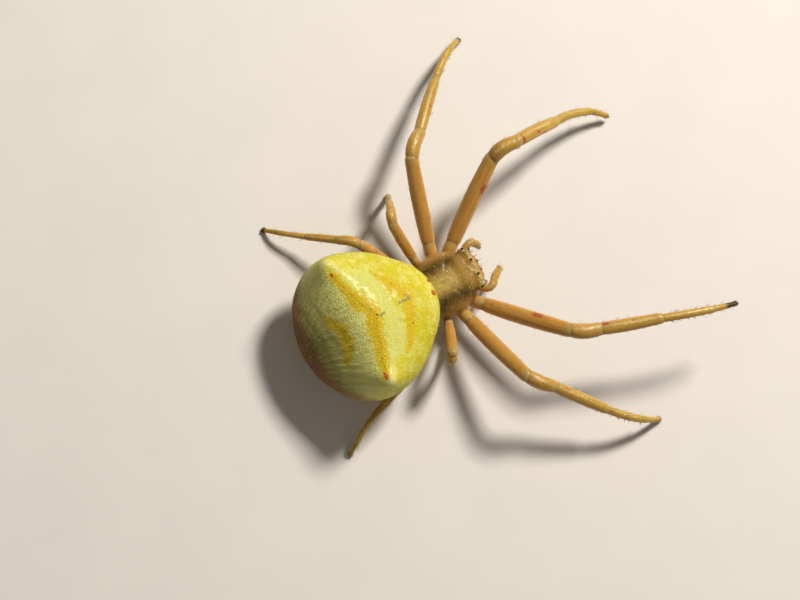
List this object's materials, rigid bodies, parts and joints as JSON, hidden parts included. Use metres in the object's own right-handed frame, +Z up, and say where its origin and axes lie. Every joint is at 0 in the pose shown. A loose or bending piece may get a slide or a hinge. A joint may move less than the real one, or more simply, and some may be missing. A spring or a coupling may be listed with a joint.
{
  "type": "crab spider",
  "caption": "Life-size still model of a female crab spider with a broad, two-horned abdomen, standing with its front legs lifted and spread.",
  "frame": {"origin": "on the floor, under the middle of the bounding box", "axes": "+Z up, the head faces -Y, the animal's left side is +X"},
  "size_m": [0.0206, 0.0192, 0.0045],
  "materials": {
    "amber_cuticle": "translucent amber cuticle of head, legs and palps, with a soft gloss",
    "lemon_skin": "taut, finely granular lemon-yellow to pale green skin with golden bands",
    "horn_cuticle": "harder brown cuticle of the jaws",
    "eye_black": "polished black eye lens"
  },
  "bodies": {
    "root": {"cephalothorax": "amber_cuticle", "abdomen": "lemon_skin", "leg_left_1": "amber_cuticle", "leg_left_2": "amber_cuticle", "leg_left_3": "amber_cuticle", "leg_left_4": "amber_cuticle", "leg_right_1": "amber_cuticle", "leg_right_2": "amber_cuticle", "leg_right_3": "amber_cuticle", "leg_right_4": "amber_cuticle", "palp_left": "amber_cuticle", "palp_right": "amber_cuticle", "chelicera_left": "horn_cuticle", "chelicera_right": "horn_cuticle", "eye_back_outer_left": "eye_black", "eye_back_outer_right": "eye_black", "eye_back_inner_left": "eye_black", "eye_back_inner_right": "eye_black", "eye_front_outer_left": "eye_black", "eye_front_outer_right": "eye_black", "eye_front_inner_left": "eye_black", "eye_front_inner_right": "eye_black"}
  },
  "joints": []
}
